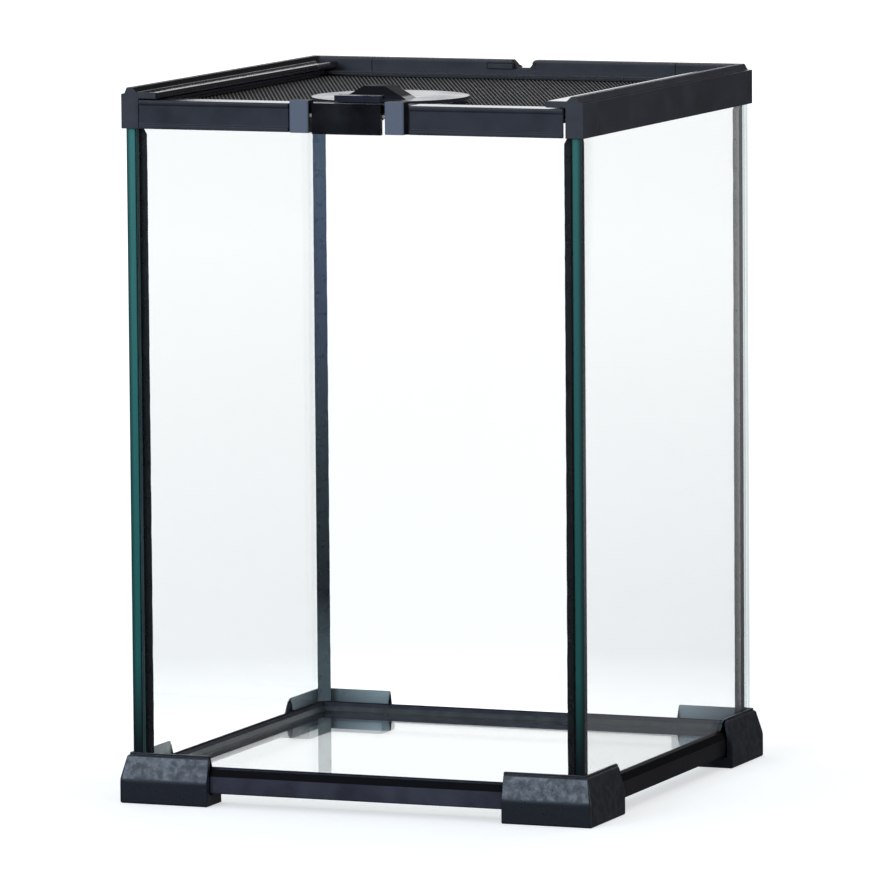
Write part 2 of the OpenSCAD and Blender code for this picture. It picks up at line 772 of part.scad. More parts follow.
// The latch plate: bulged in front, with a hinge barrel, an arm and a tooth behind
module latch()
    color("#0c0c0e")
    difference() {
        union() {
            intersection() {
                block([-latch_x, latch_front - latch_bulge, latch_bottom],
                      [latch_x, latch_back, latch_top]);
                translate([0, latch_front - latch_bulge + latch_bulge_r, latch_bottom - over])
                    cylinder(r = latch_bulge_r, h = skirt_h * 2, $fn = 2 * round_fn);
            }
            translate([-latch_x, latch_pin_y, latch_pin_z])
                rotate([0, 90, 0]) cylinder(d = latch_barrel_d, h = latch_w);
            block([-latch_arm_w / 2, latch_back - eps, arm_bottom],
                  [latch_arm_w / 2, arm_back, arm_top]);
            block([-latch_arm_w / 2, tooth_front, tooth_bottom],
                  [latch_arm_w / 2, arm_back, arm_bottom + eps]);
        }
        translate([-latch_w, latch_pin_y, latch_pin_z])
            rotate([0, 90, 0]) cylinder(d = latch_pin_d + 2 * pin_gap, h = 2 * latch_w);
    }

module latch_pin()
    color(steel)
    translate([-post_inner - pin_seat + seat_gap, latch_pin_y, latch_pin_z])
        rotate([0, 90, 0]) cylinder(d = latch_pin_d, h = 2 * (post_inner + pin_seat - seat_gap));

// ---- Feeding port ----

module port_ring()
    color(plastic)
    difference() {
        union() {
            translate([0, port_y, 0]) rotate_extrude($fn = round_fn) {
                translate([port_hole_r, lid_bottom]) square([ring_wall, ring_h]);
                translate([port_hole_r, lid_bottom])
                    square([ring_wall + ring_flange_w, mesh_shelf_t - seat_gap / 2]);
            }
            for (side = [-1, 1]) ear(side);
        }
        translate([-ear_x - ear_len - over, hinge_y, hinge_z])
            rotate([0, 90, 0]) cylinder(d = port_pin_d + seat_gap, h = 2 * (ear_x + ear_len + over));
    }

module ear(side) {
    x0 = side > 0 ? ear_x : -ear_x - ear_len;
    translate([x0, hinge_y, hinge_z]) rotate([0, 90, 0]) cylinder(d = barrel_d, h = ear_len);
    block([x0, port_y + ring_r - lug_bite, mesh_top + seat_gap],
          [x0 + ear_len, hinge_y, ring_top - seat_gap]);
}

// The finger grip: a ridge with sloped ends
module grip()
    along_y(grip_y - grip_d / 2, grip_y + grip_d / 2)
        polygon([[-grip_base_w / 2, cover_top - eps], [grip_base_w / 2, cover_top - eps],
                 [grip_top_w / 2, cover_top + grip_h], [-grip_top_w / 2, cover_top + grip_h]]);

module port_cover()
    color("#1b1b1f")
    difference() {
        union() {
            translate([0, port_y, cover_bottom]) cylinder(r = cover_r, h = cover_t, $fn = round_fn);
            block([-tab_w / 2, tab_front, tab_bottom], [tab_w / 2, tab_front + tab_d, tab_top]);
            grip();
            translate([-barrel_x, hinge_y, hinge_z]) rotate([0, 90, 0])
                cylinder(d = barrel_d, h = barrel_len);
            block([-barrel_x, port_y + cover_r - lug_bite, cover_bottom],
                  [barrel_x, hinge_y, cover_top - seat_gap]);
        }
        translate([-barrel_x - over, hinge_y, hinge_z])
            rotate([0, 90, 0]) cylinder(d = port_pin_d + 2 * pin_gap, h = barrel_len + 2 * over);
    }

module port_pin()
    color(steel)
    translate([-ear_x - ear_len, hinge_y, hinge_z])
        rotate([0, 90, 0]) cylinder(d = port_pin_d, h = 2 * (ear_x + ear_len));

front_glass();
back_glass();
left_glass();
right_glass();
floor_glass();
corner_bead_front_left();
corner_bead_front_right();
corner_bead_back_left();
corner_bead_back_right();
floor_bead();
base_rail_front();
base_rail_right();
base_rail_back();
base_rail_left();
foot_front_left();
foot_front_right();
foot_back_left();
foot_back_right();
top_rail_left();
top_rail_right();
top_rail_back();
end_cap_left();
end_cap_right();
frame_corner_left();
frame_corner_right();
front_glass_trim();
cable_shutter();
lid_front_bar_left();
lid_front_bar_right();
lid_side_bar_left();
lid_side_bar_right();
lid_rear_bar();
lid_mesh();
mesh_spline();
lock_housing();
latch();
latch_pin();
port_ring();
port_cover();
port_pin();
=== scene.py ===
"""A top-opening glass terrarium: panes, silicone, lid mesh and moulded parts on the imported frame."""

import math

import bmesh
import bpy
import numpy as np
from mathutils import Matrix, Vector


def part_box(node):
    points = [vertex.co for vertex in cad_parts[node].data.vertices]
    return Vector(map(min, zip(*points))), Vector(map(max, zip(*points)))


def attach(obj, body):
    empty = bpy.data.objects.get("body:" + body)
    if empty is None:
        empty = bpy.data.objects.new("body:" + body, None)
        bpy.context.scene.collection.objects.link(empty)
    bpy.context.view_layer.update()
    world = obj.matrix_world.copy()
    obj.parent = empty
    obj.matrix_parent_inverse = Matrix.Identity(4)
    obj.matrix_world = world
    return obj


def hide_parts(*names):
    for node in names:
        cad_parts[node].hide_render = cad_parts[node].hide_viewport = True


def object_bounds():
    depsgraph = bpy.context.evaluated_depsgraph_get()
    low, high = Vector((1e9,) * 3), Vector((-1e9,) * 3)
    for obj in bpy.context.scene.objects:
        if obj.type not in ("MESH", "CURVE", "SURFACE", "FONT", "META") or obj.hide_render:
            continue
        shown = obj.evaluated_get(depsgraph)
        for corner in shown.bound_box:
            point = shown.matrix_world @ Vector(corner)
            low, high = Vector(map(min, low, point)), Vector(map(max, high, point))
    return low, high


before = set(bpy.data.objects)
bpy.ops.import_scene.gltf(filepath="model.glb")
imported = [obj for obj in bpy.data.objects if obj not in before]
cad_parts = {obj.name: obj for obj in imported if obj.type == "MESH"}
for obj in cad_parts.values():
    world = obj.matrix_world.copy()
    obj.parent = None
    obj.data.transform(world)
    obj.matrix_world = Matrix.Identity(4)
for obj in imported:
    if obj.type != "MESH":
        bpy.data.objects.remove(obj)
cad_low, cad_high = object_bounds()
MM = 0.001

# ---------------------------------------------------------------------------------------------
# The room: a white table in a white studio, seen by a long lens from the front right.
# The table and the walls are white to the eye and in the glass, and the lamps light the tank.
# ---------------------------------------------------------------------------------------------
CAMERA_PLACE = (1.3046, -3.2807, 0.5457)
CAMERA_YAW, CAMERA_PITCH, CAMERA_ROLL = 21.705, 6.506, -0.44
LENS_MM, SENSOR_MM, SEES_TO = 345.39, 36.0, 60.0
PANE_BOUNCES, CLEAR_BOUNCES = 40, 32
SOFT_BOX = 1.0

camera = bpy.data.objects.new("camera", bpy.data.cameras.new("camera"))
camera.data.lens = LENS_MM
camera.data.sensor_width = SENSOR_MM
camera.data.clip_end = SEES_TO
turn = (
    Matrix.Rotation(math.radians(CAMERA_YAW), 4, "Z")
    @ Matrix.Rotation(math.radians(90 - CAMERA_PITCH), 4, "X")
    @ Matrix.Rotation(math.radians(CAMERA_ROLL), 4, "Z")
)
camera.matrix_world = Matrix.Translation(CAMERA_PLACE) @ turn
scene = bpy.context.scene
scene.collection.objects.link(camera)
scene.camera = camera
scene.view_settings.view_transform = "Standard"
# Light that enters the edge of a pane bounces along inside it many times before it leaves.
scene.cycles.max_bounces = PANE_BOUNCES
scene.cycles.glossy_bounces = PANE_BOUNCES
scene.cycles.transmission_bounces = PANE_BOUNCES
scene.cycles.transparent_max_bounces = CLEAR_BOUNCES


class Value:
    """A number that varies over a surface, as a shader socket that Python's own operators work on."""

    def __init__(self, tree, socket):
        self.tree = tree
        self.socket = socket

    def maths(self, operation, *others):
        """The result of a new Math node on some values and numbers."""
        node = self.tree.nodes.new("ShaderNodeMath")
        node.operation = operation
        for entry, value in zip(node.inputs, others):
            if isinstance(value, Value):
                self.tree.links.new(value.socket, entry)
            else:
                entry.default_value = value
        return Value(self.tree, node.outputs[0])

    def __add__(self, other):
        return self.maths("ADD", self, other)

    def __radd__(self, other):
        return self.maths("ADD", other, self)

    def __sub__(self, other):
        return self.maths("SUBTRACT", self, other)

    def __rsub__(self, other):
        return self.maths("SUBTRACT", other, self)

    def __mul__(self, other):
        return self.maths("MULTIPLY", self, other)

    def __rmul__(self, other):
        return self.maths("MULTIPLY", other, self)

    def __truediv__(self, other):
        return self.maths("DIVIDE", self, other)

    def __rtruediv__(self, other):
        return self.maths("DIVIDE", other, self)

    def __gt__(self, other):
        return self.maths("GREATER_THAN", self, other)

    def most(self, other):
        return self.maths("MAXIMUM", self, other)

    def least(self, other):
        return self.maths("MINIMUM", self, other)

    def ramp(self, start, end):
        """0 below start, 1 above end, and a straight slope between them."""
        return ((self - start) / (end - start)).most(0.0).least(1.0)


class Finish:
    """A node tree in the making, of a material or of the world."""

    def __init__(self, tree):
        self.tree = tree
        tree.nodes.clear()

    def node(self, kind, settings=None, **inputs):
        """Adds one node. Settings are set first, then each input by its name, with _ for a space,
        or by its number, as inN."""
        node = self.tree.nodes.new("ShaderNode" + kind)
        for name, value in (settings or {}).items():
            if name == "stops":
                self.set_stops(node.color_ramp, value)
            else:
                setattr(node, name, value)
        for name, value in inputs.items():
            numbered = name[:2] == "in" and name[2:].isdigit()
            entry = node.inputs[int(name[2:])] if numbered else node.inputs[name.replace("_", " ")]
            if isinstance(value, Value):
                self.tree.links.new(value.socket, entry)
            elif isinstance(value, bpy.types.NodeSocket):
                self.tree.links.new(value, entry)
            else:
                entry.default_value = value
        return node

    @staticmethod
    def set_stops(ramp, stops):
        """Gives a colour ramp its stops, each a place and a colour."""
        for index, (place, colour) in enumerate(stops):
            element = ramp.elements[index] if index < 2 else ramp.elements.new(place)
            element.position = place
            element.color = (*colour, 1.0)

    def value(self, kind, output=0, settings=None, **inputs):
        """The chosen output of a new node, as a Value."""
        return Value(self.tree, self.node(kind, settings, **inputs).outputs[output])

    def colour(self, share, first, second):
        """The mix of two colours, or of the colours of two sockets, by share."""
        mixed = self.node("Mix", {"data_type": "RGBA"}, in0=share, in6=first, in7=second)
        return mixed.outputs[2]

    def parts(self, vector):
        """The x, y and z of a vector, each as a Value."""
        return [Value(self.tree, out) for out in self.node("SeparateXYZ", Vector=vector).outputs]

    def ray(self, name):
        """One output of the Light Path node."""
        return self.value("LightPath", name)


# Seen straight on or through glass the studio is white. In a reflection it is white behind the tank
# and dark on the camera's side, and soft grey light comes from everywhere to the matt surfaces.
# To the right stand white cards, darker at the foot and parted by a narrow dark gap, which the glass
# mirrors. Satin surfaces mirror a long low window behind the tank. The pairs of numbers say where,
# in the x, y and z of a ray's direction, each of these begins and is full.
WHITE = (1.0, 1.0, 1.0, 1.0)
THROUGH_GLASS = 1.17
AMBIENT_COLOUR, AMBIENT = (0.93, 0.97, 1.0, 1.0), 0.46
MIRROR_COLOUR, DARK_SIDE = (0.97, 0.98, 1.0, 1.0), 0.03
WALL_BEHIND, CARDS_FROM = (-0.05, 0.25), (-0.1, 0.2)
CARDS, CARD_FOOT, CARD_FOOT_LIGHT = 0.55, (-0.145, -0.10), 0.3
GAP_BEGIN, GAP_END, GAP_DARK = (0.3515, 0.3525), (0.365, 0.375), 0.85
WINDOW, WINDOW_BEHIND, WINDOW_SIDE = 1.35, (0.1, 0.6), (-0.25, 0.1)
WINDOW_SILL, WINDOW_HEAD = (-0.03, 0.04), (0.25, 0.4)
RIGHT_SIDE, RIGHT_SIDE_FROM = 0.10, (0.0, 0.3)
OVERHEAD, OVERHEAD_FROM = 0.5, (0.5, 0.9)
world = bpy.data.worlds.new("studio")
world.use_nodes = True
world.cycles.sampling_method = "NONE"  # it is seen and mirrored, and the lamps light the tank
scene.world = world
studio = Finish(world.node_tree)
x, y, z = studio.parts(studio.node("TexCoord").outputs["Generated"])
mirrored = (studio.ray("Glossy Depth") > 0.5) * (1.0 - studio.ray("Is Diffuse Ray"))
sharp = studio.ray("Is Singular Ray")
straight = studio.ray("Is Camera Ray").most(studio.ray("Is Transmission Ray")) * (1.0 - mirrored)
gap = x.ramp(*GAP_BEGIN) * (1.0 - x.ramp(*GAP_END))
cards = CARDS * (CARD_FOOT_LIGHT + (1.0 - CARD_FOOT_LIGHT) * z.ramp(*CARD_FOOT)) * (1.0 - GAP_DARK * gap)
behind = y.ramp(*WALL_BEHIND) * (1.0 - (1.0 - cards) * x.ramp(*CARDS_FROM))
window = WINDOW * y.ramp(*WINDOW_BEHIND) * z.ramp(*WINDOW_SILL) * (1.0 - z.ramp(*WINDOW_HEAD))
window = window * (1.0 - x.ramp(*WINDOW_SIDE))
soft = window.most(RIGHT_SIDE * x.ramp(*RIGHT_SIDE_FROM))
overhead = OVERHEAD * z.ramp(*OVERHEAD_FROM)
reflection = (sharp * behind + (1.0 - sharp) * soft).most(overhead).most(DARK_SIDE)
ambient = studio.node("Background", Color=AMBIENT_COLOUR, Strength=AMBIENT)
walls = studio.node("Background", Color=WHITE, Strength=1.0 + (THROUGH_GLASS - 1.0) * sharp)
mirror = studio.node("Background", Color=MIRROR_COLOUR, Strength=reflection)
sky = studio.node("MixShader", in0=straight, in1=ambient.outputs[0], in2=walls.outputs[0])
sky = studio.node("MixShader", in0=mirrored, in1=sky.outputs[0], in2=mirror.outputs[0])
studio.node("OutputWorld", Surface=sky.outputs[0])

# The table glows on top of the light that falls on it, so that it looks white and still shows the
# tank's shadow. How much it glows goes with the distance from the tank, and is set apart for what is
# seen bare and what is seen through the panes. It has no mirror image, so the room shows there instead.
TABLE_COLOUR = (0.62, 0.63, 0.64, 1.0)
TABLE_REACH = 12.0
BARE_NEAR, BARE_FAR, BARE_FADE = 0.55, 1.0, (0.5, 2.5)
GLASS_UNDER, GLASS_NEAR, GLASS_FAR = 1.08, 0.68, 0.93
GLASS_NEAR_FADE, GLASS_FAR_FADE = (0.15, 0.4), (0.6, 2.5)
table = bpy.data.objects.new("table", bpy.data.meshes.new("table"))
corners = [(x * TABLE_REACH, y * TABLE_REACH, 0.0) for x, y in ((-1, -1), (1, -1), (1, 1), (-1, 1))]
table.data.from_pydata(corners, [], [(0, 1, 2, 3)])
scene.collection.objects.link(table)
top = bpy.data.materials.new("table_white")
top.use_nodes = True
paper = Finish(top.node_tree)
place = paper.node("TexCoord").outputs["Object"]
away = paper.value("VectorMath", "Value", {"operation": "LENGTH"}, in0=place)
bare = BARE_NEAR + (BARE_FAR - BARE_NEAR) * away.ramp(*BARE_FADE)
through = GLASS_UNDER + (GLASS_NEAR - GLASS_UNDER) * away.ramp(*GLASS_NEAR_FADE)
through = through + (GLASS_FAR - GLASS_NEAR) * away.ramp(*GLASS_FAR_FADE)
seen = paper.ray("Is Camera Ray").most(paper.ray("Is Transmission Ray"))
sharp = paper.ray("Is Singular Ray")
matt = paper.node("BsdfDiffuse", Color=TABLE_COLOUR)
glow = paper.node("Emission", Color=WHITE, Strength=seen * bare * (1.0 - sharp) + through * sharp)
lit = paper.node("AddShader", in0=matt.outputs[0], in1=glow.outputs[0])
open_below = paper.node("BsdfTransparent")
mirrored = paper.ray("Glossy Depth") > 0.5
surface = paper.node("MixShader", in0=mirrored, in1=lit.outputs[0], in2=open_below.outputs[0])
paper.node("OutputMaterial", Surface=surface.outputs[0])
table.data.materials.append(top)


def lamp(name, place, strength, colour):
    """A square soft box at a place, turned to face the middle of the tank."""
    light = bpy.data.lights.new(name, "AREA")
    light.shape = "SQUARE"
    light.size = SOFT_BOX
    light.energy = strength
    light.color = colour
    holder = bpy.data.objects.new(name, light)
    aim = Vector(place) - Vector((cad_low + cad_high) / 2)
    holder.matrix_world = Matrix.Translation(place) @ aim.to_track_quat("Z", "Y").to_matrix().to_4x4()
    holder.visible_camera = False
    holder.visible_transmission = False
    scene.collection.objects.link(holder)


lamp("key_light", (-0.80, -1.86, 0.95), strength=20.0, colour=(0.68, 0.82, 1.0))
lamp("top_light", (-0.1, 0.3, 2.0), strength=12.0, colour=(1.0, 1.0, 1.0))
lamp("right_light", (2.12, -0.85, 0.55), strength=9.0, colour=(0.84, 0.92, 1.0))


# ---------------------------------------------------------------------------------------------
# The panes: five sheets of 4 mm float glass, cut square, with their sharp edges taken off.
# The long way through the glass from edge to edge is what makes the edges green. The front edges
# of the side panes are opaque, and their brightness is painted light carried along inside the pane.
# ---------------------------------------------------------------------------------------------
ARRIS = 0.35 * MM
CORNER_FACET = 0.02 * MM
GLASS_INDEX, GLASS_TINT = 1.5, (0.990, 0.998, 0.995, 1.0)
# Out from the middle of the sheet: where the inner arris is, and where the green fades.
INNER_ARRIS, OUTER_FADE = (-2.1 * MM, -1.75 * MM), (0.1 * MM, 1.6 * MM)
# The painted glow of an edge goes with the height in the tank, from 0 at its foot to 1 at its top,
# and is brighter towards the top.
EDGE_BLACK = (0.002, 0.006, 0.007, 1.0)
EDGE_PAINTED_GLOW = [
    (0.08, (0.003, 0.010, 0.012)), (0.13, (0.007, 0.045, 0.042)), (0.20, (0.010, 0.105, 0.094)),
    (0.40, (0.013, 0.130, 0.116)), (0.75, (0.030, 0.170, 0.156)), (0.95, (0.040, 0.205, 0.185)),
]
# A face belongs to the end of a pane if its normal lies this far or more along the pane.
END_FACING = 0.6


def skin(name, rings, materials, smooth_angle):
    """A closed surface through rings of points: neighbouring rings are joined by quads, point to point,
    and the first and last ring are closed by one face each."""
    rings = np.asarray(rings, float)
    count, around = rings.shape[:2]
    here = np.arange(around)
    ahead = (here + 1) % around
    row = np.arange(count - 1)[:, None] * around
    quads = np.stack([row + here, row + ahead, row + ahead + around, row + here + around], -1)
    faces = quads.reshape(-1, 4).tolist()
    faces += [here[::-1].tolist(), (here + (count - 1) * around).tolist()]
    mesh = bpy.data.meshes.new(name)
    mesh.from_pydata(rings.reshape(-1, 3).tolist(), [], faces)
    return finish_mesh(name, mesh, materials, smooth_angle)


def finish_mesh(name, mesh, materials, smooth_angle):
    """Turns all faces outwards, shades them smooth up to an angle, and makes the mesh an object."""
    shape = bmesh.new()
    shape.from_mesh(mesh)
    bmesh.ops.remove_doubles(shape, verts=shape.verts, dist=1e-7)
    bmesh.ops.recalc_face_normals(shape, faces=shape.faces)
    shape.to_mesh(mesh)
    shape.free()
    mesh.polygons.foreach_set("use_smooth", np.ones(len(mesh.polygons), bool))
    mesh.set_sharp_from_angle(angle=math.radians(smooth_angle))
    for material in materials:
        mesh.materials.append(material)
    piece = bpy.data.objects.new(name, mesh)
    scene.collection.objects.link(piece)
    return piece


def dress(piece, body, slot, *nodes):
    """The piece rides on a body and stands for the nodes, which are hidden. The slot is not used."""
    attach(piece, body)
    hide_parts(*nodes)
    return piece


def slab(name, low, high, arris, materials):
    """A sheet with every edge cut off at 45 degrees: four rings of an eight-sided plan,
    of which the outer two are drawn in by the arris."""
    low, high = np.array(low), np.array(high)
    rings = []
    heights = (low[2], low[2] + arris, high[2] - arris, high[2])
    for height, inset in zip(heights, (arris, 0.0, 0.0, arris)):
        x0, y0, x1, y1 = low[0] + inset, low[1] + inset, high[0] - inset, high[1] - inset
        cut = arris - inset + CORNER_FACET
        plan = [
            (x0 + cut, y0), (x1 - cut, y0), (x1, y0 + cut), (x1, y1 - cut),
            (x1 - cut, y1), (x0 + cut, y1), (x0, y1 - cut), (x0, y0 + cut),
        ]
        rings.append([(x, y, height) for x, y in plan])
    return skin(name, rings, materials, 20.0)


def material(name):
    """A new empty material and the Finish that fills it."""
    made = bpy.data.materials.new(name)
    made.use_nodes = True
    return made, Finish(made.node_tree)


def float_glass(name):
    """Clear glass with a hint of green. Lamps and soft light pass straight through it."""
    made, glass = material(name)
    clear = glass.node(
        "BsdfPrincipled", Base_Color=GLASS_TINT, Roughness=0.0, IOR=GLASS_INDEX, Transmission_Weight=1.0
    )
    straight = glass.node("BsdfTransparent", Color=(0.97, 0.99, 0.985, 1.0))
    lamp_side = glass.ray("Is Shadow Ray").most(glass.ray("Is Diffuse Ray"))
    mixed = glass.node("MixShader", in0=lamp_side, in1=clear.outputs[0], in2=straight.outputs[0])
    glass.node("OutputMaterial", Surface=mixed.outputs[0])
    return made


def glass_edge(name, middle, strength):
    """The ground front edge of a side pane, whose middle lies at an x: deep green, with painted light that
    is brightest in the middle of the sheet, black at its two arrises, and darker from the top of the tank
    to the feet. The strength scales this painted light."""
    made, edge = material(name)
    coords = edge.node("TexCoord").outputs["Object"]
    x, y, z = edge.parts(coords)
    stretched = edge.node("Mapping", in0=coords, Scale=(2500.0, 2500.0, 40.0))
    streak = edge.value("TexNoise", "Fac", Vector=stretched.outputs[0], Scale=1.0, Detail=2.0)
    depth = edge.node("ValToRGB", {"stops": EDGE_PAINTED_GLOW}, Fac=z / cad_high[2])
    off = x * math.copysign(1.0, middle) - abs(middle)
    inner = off.ramp(*INNER_ARRIS)
    outer = 1.0 - 0.9 * off.ramp(*OUTER_FADE)
    lit_share = strength * (0.16 + 0.84 * inner * outer) * (0.88 + 0.24 * streak)
    colour = edge.colour(lit_share, EDGE_BLACK, depth.outputs[0])
    ground = edge.node(
        "BsdfPrincipled", Base_Color=colour, Roughness=0.3 + 0.2 * streak, Specular_IOR_Level=0.25
    )
    edge.node("OutputMaterial", Surface=ground.outputs[0])
    return made


def mark_faces(piece, chosen):
    """Gives each face the finish whose number a rule works out from the way it faces."""
    facing = np.empty(3 * len(piece.data.polygons))
    piece.data.polygons.foreach_get("normal", facing)
    piece.data.polygons.foreach_set("material_index", chosen(facing.reshape(-1, 3)).astype(np.int32))


def glued(name):
    """The ends of the front pane, bedded in silicone: black where it wets the glass, and dull
    grey-green on the left, where it came away from it."""
    made, end = material(name)
    coords = end.node("TexCoord").outputs["Object"]
    cloud = end.value("TexNoise", "Fac", Vector=coords, Scale=70.0, Detail=3.0)
    parted = end.colour(cloud.ramp(0.3, 0.7), (0.040, 0.085, 0.092, 1.0), (0.062, 0.115, 0.125, 1.0))
    tint = end.colour(end.parts(coords)[0].ramp(-MM, MM), parted, (0.002, 0.003, 0.003, 1.0))
    dull = end.node("BsdfPrincipled", Base_Color=tint, Roughness=0.4 + 0.3 * cloud, Specular_IOR_Level=0.2)
    end.node("OutputMaterial", Surface=dull.outputs[0])
    return made


def open_end(name):
    """The polished back end of a pane, which lets the white wall behind the tank show through."""
    made, end = material(name)
    coords = end.node("TexCoord").outputs["Object"]
    cloud = end.value("TexNoise", "Fac", Vector=coords, Scale=70.0, Detail=3.0)
    deep = end.node("BsdfTransparent", Color=(0.54, 0.60, 0.60, 1.0))
    pale = end.node("BsdfTransparent", Color=(0.66, 0.71, 0.71, 1.0))
    straight = end.node("MixShader", in0=cloud, in1=deep.outputs[0], in2=pale.outputs[0])
    end.node("OutputMaterial", Surface=straight.outputs[0])
    return made


clear_glass = float_glass("clear_glass")
glued_end = glued("glued_end")
polished_end = open_end("polished_end")
# The right pane's front edge gets less painted light than the left one's: painted shade.
for side, strength in (("left", 1.0), ("right", 0.75)):
    pane_low, pane_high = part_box(side + "_glass")
    ground_edge_painted_glow = glass_edge(f"ground_edge_painted_glow_{side}", float(pane_low[0] + pane_high[0]) / 2, strength)
    pane = slab(side + "_glass_pane", pane_low, pane_high, ARRIS, [clear_glass, ground_edge_painted_glow, polished_end])
    mark_faces(pane, lambda facing: (facing[:, 1] < -END_FACING) + 2 * (facing[:, 1] > END_FACING))
    dress(pane, "tank", "clear_glass", side + "_glass")
for node, end in (("front_glass", glued_end), ("back_glass", polished_end)):
    pane_low, pane_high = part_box(node)
    pane = slab(node + "_pane", pane_low, pane_high, ARRIS, [clear_glass, end])
    mark_faces(pane, lambda facing: np.abs(facing[:, 0]) > END_FACING)
    dress(pane, "tank", "clear_glass", node)
floor_pane = slab("floor_glass_pane", *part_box("floor_glass"), ARRIS, [clear_glass])
dress(floor_pane, "tank", "floor_glass", "floor_glass")


# ---------------------------------------------------------------------------------------------
# The silicone: a black bead gunned into each upright corner and drawn off with a finger, which
# leaves it slightly hollow, a little uneven along its edge, and rounded off where it ends.
# ---------------------------------------------------------------------------------------------
# The rings lie at heights of a power below 1, which sets them closer towards the top.
BEAD_RINGS, RINGS_POWER, ARC_POINTS = 90, 0.8, 9
BEAD_HOLLOW, BEAD_BITE = 0.03, 0.02 * MM
BEAD_END, BEAD_END_REACH = 1.8 * MM, 0.7
# The waver is a sum of sines of the height, with these rates in radians for each metre.
WAVER_RATES, WAVER = np.array([70.0, 190.0, 430.0]), 0.012
# A bead at the front reaches less far along the side pane, and has a tongue in the joint.
FRONT_REACH = 0.6
JOINT_WIDE, JOINT_DEEP = 0.26 * MM, 3.8 * MM


def silicone(name, colour, roughness, painted_sheen_stops=None):
    """Cured silicone rubber: smooth, half glossy, with slow waves from the finger that drew it.
    painted_sheen_stops gives a painted sheen on it, as colour stops over the height of the tank."""
    made, rubber = material(name)
    coords = rubber.node("TexCoord").outputs["Object"]
    waves = rubber.value("TexNoise", "Fac", Vector=coords, Scale=160.0, Detail=2.0)
    bump = rubber.node("Bump", Strength=0.2, Distance=0.0002, Height=waves)
    dark, light = ((*(side * c for c in colour), 1.0) for side in (0.7, 1.3))
    tint = rubber.colour(waves.ramp(0.3, 0.7), dark, light)
    if painted_sheen_stops:
        height = rubber.parts(coords)[2] / cad_high[2]
        painted_sheen = rubber.node("ValToRGB", {"stops": painted_sheen_stops}, Fac=height)
        tint = rubber.colour(0.8 + 0.2 * waves, tint, painted_sheen.outputs[0])
    body = rubber.node(
        "BsdfPrincipled", Base_Color=tint, Roughness=roughness + 0.08 * waves, Specular_IOR_Level=0.6,
        Normal=bump.outputs[0],
    )
    rubber.node("OutputMaterial", Surface=body.outputs[0])
    return made


def corner_bead(node, finish, seed):
    """A fillet up a corner. Its section has one point in the corner and an arc between its two feet,
    a(1 - s) + bs - 4hs(1 - s)n, where n points out of the corner and h is how hollow it is.
    The feet reach out by a length that wavers up the corner and rounds off at the top. The silicone
    wets the glass, so it reaches a hair into it, and at the front a tongue goes on between the panes."""
    low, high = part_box(node)
    low, high = np.array(low), np.array(high)
    size = high[0] - low[0]
    into = -np.sign((low + high)[:2])
    corner = np.where(into > 0, low[:2], high[:2]) - into * BEAD_BITE
    joint_deep, side_reach = (JOINT_DEEP, FRONT_REACH) if into[1] > 0 else (0.0, 1.0)
    up = np.linspace(0.0, 1.0, BEAD_RINGS) ** RINGS_POWER
    height = low[2] + up * (high[2] - low[2])
    phase = np.random.default_rng(seed).uniform(0, 2 * np.pi, (2, 3))
    waver = np.sin(height[:, None, None] * WAVER_RATES + phase).sum(-1) * WAVER
    closing = np.clip((height - high[2] + BEAD_END) / BEAD_END, 0.0, 1.0)
    rounding = BEAD_END_REACH + (1.0 - BEAD_END_REACH) * np.sqrt(1.0 - closing[:, None] ** 2)
    reach = size * (1.0 - np.abs(waver)) * rounding
    share = np.linspace(0.0, 1.0, ARC_POINTS)
    hollow = 4 * BEAD_HOLLOW * share * (1 - share)
    along_x = reach[:, :1] * (1 - share - hollow)
    along_y = side_reach * reach[:, 1:] * (share - hollow)
    tongue_x = np.tile([0.0, JOINT_WIDE, JOINT_WIDE], (BEAD_RINGS, 1))
    tongue_y = np.tile([-joint_deep, -joint_deep, 0.0], (BEAD_RINGS, 1))
    plan_x = corner[0] + into[0] * np.hstack([tongue_x, along_x])
    plan_y = corner[1] + into[1] * np.hstack([tongue_y, along_y])
    rings = np.stack([plan_x, plan_y, np.broadcast_to(height[:, None], plan_x.shape)], -1)
    return skin(node + "_silicone", rings, [finish], 40.0)


BEAD_BLACK, BEAD_ROUGHNESS = (0.003, 0.003, 0.004), 0.24
# The back-left bead is painted lighter blue-grey near its foot and towards its top: a painted sheen.
PAINTED_SHEEN_STOPS = [
    (0.12, (0.100, 0.135, 0.150)), (0.21, (0.004, 0.012, 0.020)), (0.44, (0.030, 0.048, 0.060)),
    (0.68, (0.065, 0.090, 0.170)), (0.90, (0.130, 0.190, 0.280)),
]
silicone_black = silicone("silicone_black", BEAD_BLACK, BEAD_ROUGHNESS)
silicone_painted_sheen = silicone("silicone_painted_sheen", BEAD_BLACK, BEAD_ROUGHNESS, PAINTED_SHEEN_STOPS)
for seed, corner in enumerate(("front_left", "front_right", "back_left", "back_right")):
    rubber_finish = silicone_painted_sheen if corner == "back_left" else silicone_black
    bead = corner_bead(f"corner_bead_{corner}", rubber_finish, seed)
    dress(bead, "tank", "black_silicone", f"corner_bead_{corner}")


# ---------------------------------------------------------------------------------------------
# The base frame: four rails moulded in satin black plastic, with edges rounded by the mould. They
# are pushed together dry under the panes. Their upper faces are rough and painted near black: painted
# shade. The right rail is painted darker all over: painted shade.
# ---------------------------------------------------------------------------------------------
BASE_ROUND = 0.3 * MM
# In degrees: triangles this flat are one face, edges above this are rounded, and those below smooth.
FLAT_WITHIN, ROUND_ABOVE, SMOOTH_BELOW, ROUND_STEPS = 0.5, 30.0, 35.0, 2


